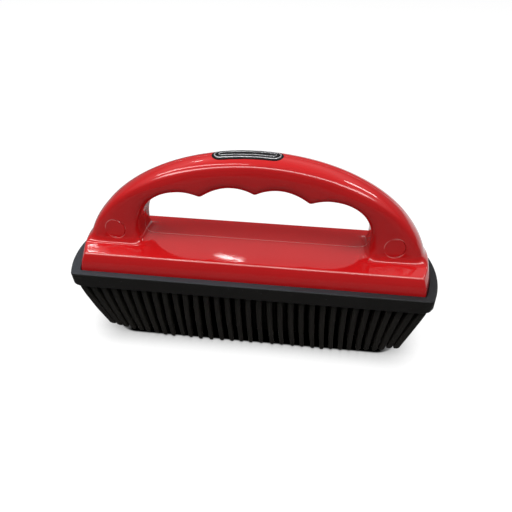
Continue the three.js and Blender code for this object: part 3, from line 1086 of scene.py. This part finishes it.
def bristleRows():
    finger = fingerMesh()
    chance = random.Random(bristles["seed"])
    count = 0
    for number, joint in enumerate(frame["joints"]):
        rowY = joint["pos_m"][1] / mm
        aside = bristles["rowShift"] * math.sin(bristles["rowTurn"] * number)
        rowEnd = padEndAt(rowY) - bristles["endMargin"]
        perSide = round(rowEnd / bristles["pitch"])
        bm = bmesh.new()
        for place in range(-perSide, perSide + 1):
            share = place / perSide
            rootX = rowEnd * share + aside * (1 - share ** bristles["rowShiftPower"])
            setFinger(bm, finger, rootX, rowY, rowEnd, chance)
            count += 1
        name = "rubber_bristles_" + joint["child"]
        # the bristles take the rubber copy that is lightened as painted light
        piece = newPiece(name, bm, "black_rubber", finish="bristle_rubber_painted_lighter")
        evenShading(piece)
        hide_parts("bristle_" + joint["child"])
        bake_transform(piece)
    bpy.data.meshes.remove(finger)
    print("bristles:", count)


bristleRows()


# Every CAD node takes the finish of its slot: the screws and the plate stay as they are
for subpart in frame["record"]["subparts"]:
    node = frame["nodes"][subpart["node"]]
    node.data.materials.clear()
    node.data.materials.append(finishes[subpart["material_slot"]])


# Camera at the photograph's viewing point
camera = {
    "place": (19.72, -189.56, 155.85),
    "yaw": 0.099,
    "pitch": 0.565,
    "roll": 0.021,
    "lens": 33.95,
    "sensor": 36,
    "clipStart": 10,
}


def aimCamera():
    lens = bpy.data.cameras.new("photoCamera")
    lens.sensor_width = camera["sensor"]
    lens.lens = camera["lens"]
    lens.clip_start = camera["clipStart"] * mm
    turn = Matrix.Rotation(camera["yaw"], 4, "Z")
    turn @= Matrix.Rotation(math.pi / 2 - camera["pitch"], 4, "X")
    turn @= Matrix.Rotation(camera["roll"], 4, "Z")
    holder = addObject("photoCamera", lens)
    holder.matrix_world = Matrix.Translation(Vector(camera["place"]) * mm) @ turn
    scene.camera = holder
    print("camera aimed")


aimCamera()


# World: white to the camera, and graded where it shines in the gloss
surround = {
    "ambient": 0.14,
    # sine of the elevation, brightness
    "sky": (
        (0.0, 0.20),
        (0.34, 0.16),
        (0.50, 0.46),
        (0.66, 0.84),
        (0.80, 0.55),
        (0.90, 0.40),
        (1.0, 0.50),
    ),
    "frontGlow": 16.0,  # brightness of a band in front
    "frontGlowAt": 0.735,  # sine of its elevation
    "frontGlowReach": 0.09,
    "frontGlowEnds": (-0.2, 0.0),
}


def rays(board):  # 1 for what is seen straight or through clear things, 1 for what shines in the gloss
    kinds = ("Camera", "Transmission", "Glossy")
    seen, through, glossy = (
        board.node("ShaderNodeLightPath", {}, {}, "Is " + kind + " Ray") for kind in kinds
    )
    return seen.most(through), glossy


def buildWorld():
    world = bpy.data.worlds.new("studioWorld")
    scene.world = world
    world.use_nodes = True
    board = Board(world.node_tree)
    white, glossy = rays(board)
    direction = board.node("ShaderNodeTexCoord", {}, {}, "Generated")
    up = board.along(direction, "Z")
    sky = board.ramp(up, surround["sky"])
    front = board.band(up, surround["frontGlowAt"], surround["frontGlowReach"])
    front *= board.fade(board.along(direction, "Y"), *surround["frontGlowEnds"])
    ambient = surround["ambient"]
    light = ambient + glossy * (sky + front * surround["frontGlow"] - ambient)
    strength = white + (1 - white) * light
    shine = board.node("ShaderNodeBackground", {}, {"Color": (1, 1, 1, 1), "Strength": strength})
    board.node("ShaderNodeOutputWorld", {}, {"Surface": shine})


# Floor: white to the camera, with the brush's shadow, a painted contact shadow close to it, and a painted shadow,
# dark, below the bristles
ground = {
    "half": 3.0,
    "steps": 8,
    "shade": 0.22,  # its colour for the light that it throws back on the brush
    "lit": 0.10,  # and to the camera, on top of its own white
    "white": 0.96,
    "gloss": 0.6,  # how it shines in the gloss, to the right of the first range and behind the second
    "shineX": (-0.03, 0.02),
    "shineY": (0.02, 0.08),
    "contact": 0.012,  # reach of the contact shadow painted close to the brush
    "contactSamples": 32,
    "underHalf": (0.0560, 0.0085),  # half sizes of the painted shadow, where no light comes through the bristles
    "underRound": 0.012,
    "underSharp": 0.93,  # share of the rounding that is wholly dark
    "underEnd": (0.0590, 0.0685),  # the painted shadow thins out below the raised end bristles
    "underShift": 0.0022,
    "underClear": (0.64, 0.86),  # and ends where the floor lies open to the light
}


def paintedShadowUnderBrush(board, where):  # 1 on the floor below the bristles, where the shadow is painted
    along = board.size(board.along(where, "X") - ground["underShift"])
    across = board.size(board.along(where, "Y"))
    pastEnd, pastSide = (
        (value - half).most(0) for value, half in zip((along, across), ground["underHalf"])
    )
    reach = ground["underRound"]
    apart = pastEnd * pastEnd + pastSide * pastSide
    field = board.fade(apart, (reach * ground["underSharp"]) ** 2, reach**2)
    return field * board.fade(along, *ground["underEnd"])


def buildFloor():
    bm = bmesh.new()
    steps = ground["steps"]
    bmesh.ops.create_grid(bm, x_segments=steps, y_segments=steps, size=ground["half"])
    floor = addObject("floor", toMesh("floor", bm))
    material, board = newFinish("pale_floor")
    white, glossy = rays(board)
    where = board.place()
    sampling = {"samples": ground["contactSamples"]}
    clear = board.node("ShaderNodeAmbientOcclusion", sampling, {"Distance": ground["contact"]}, "AO")
    # painted shadow below the bristles, which ends where the occlusion shows open floor
    bare = 1 - paintedShadowUnderBrush(board, where) * board.fade(clear, *ground["underClear"])
    lit = bare * (ground["shade"] + white * (ground["lit"] - ground["shade"]))
    right = 1 - board.fade(board.along(where, "X"), *ground["shineX"])
    behind = 1 - board.fade(board.along(where, "Y"), *ground["shineY"])
    shine = glossy * right * behind * ground["gloss"]
    # the floor's white is darkened by the painted shadow and by the occlusion as a painted contact shadow
    glow = bare * clear * (white * ground["white"] + shine)
    tone = board.node("ShaderNodeCombineXYZ", {}, {0: lit, 1: lit, 2: lit})
    paper = board.node("ShaderNodeBsdfDiffuse", {}, {"Color": tone})
    bright = board.node("ShaderNodeEmission", {}, {"Color": (1, 1, 1, 1), "Strength": glow})
    both = board.node("ShaderNodeAddShader", {}, {0: paper, 1: bright})
    board.node("ShaderNodeOutputMaterial", {}, {"Surface": both})
    floor.data.materials.append(material)


# Lamps, all facing down: place, size, power, turn in degrees
broadLamps = {  # light the brush, but aren't seen in the gloss
    "frontLamp": ((-0.05, -0.42, 1.0), (1.2, 0.6), 11.5, 0),
    "overhead": ((-0.05, 0.55, 1.0), (1.6, 1.0), 4.3, 0),
}
glossLamps = {  # draw the bright lines on the red moulding
    "deckLamp": ((-0.207, 1.026, 1.03), (0.10, 0.016), 0.16, -22),
    "leftLampA": ((-0.718, 1.05, 1.03), (0.065, 0.009), 0.06, 8),
    "leftLampB": ((-0.648, 0.93, 1.03), (0.14, 0.014), 0.2, -47),
    "leftPanel": ((-0.72, 0.99, 1.04), (0.10, 0.07), 0.04, -5),
    "rightLamp": ((1.0, 0.84, 1.03), (0.87, 0.08), 4.0, 39),
    "archTube": ((-0.645, 0.26, 1.03), (1.22, 0.08), 4.6, -36),
}


def addLamp(name, place, size, power, turn, inGloss):
    lamp = bpy.data.lights.new(name, "AREA")
    lamp.shape = "RECTANGLE"
    lamp.size, lamp.size_y = size
    lamp.energy = power
    holder = addObject(name, lamp)
    holder.location = place
    holder.rotation_euler = (0, 0, math.radians(turn))
    holder.visible_camera = False
    holder.visible_glossy = inGloss


buildWorld()
buildFloor()
for name, lamp in broadLamps.items():
    addLamp(name, *lamp, inGloss=False)
for name, lamp in glossLamps.items():
    addLamp(name, *lamp, inGloss=True)
print("studio ready:", len(broadLamps) + len(glossLamps), "lamps")
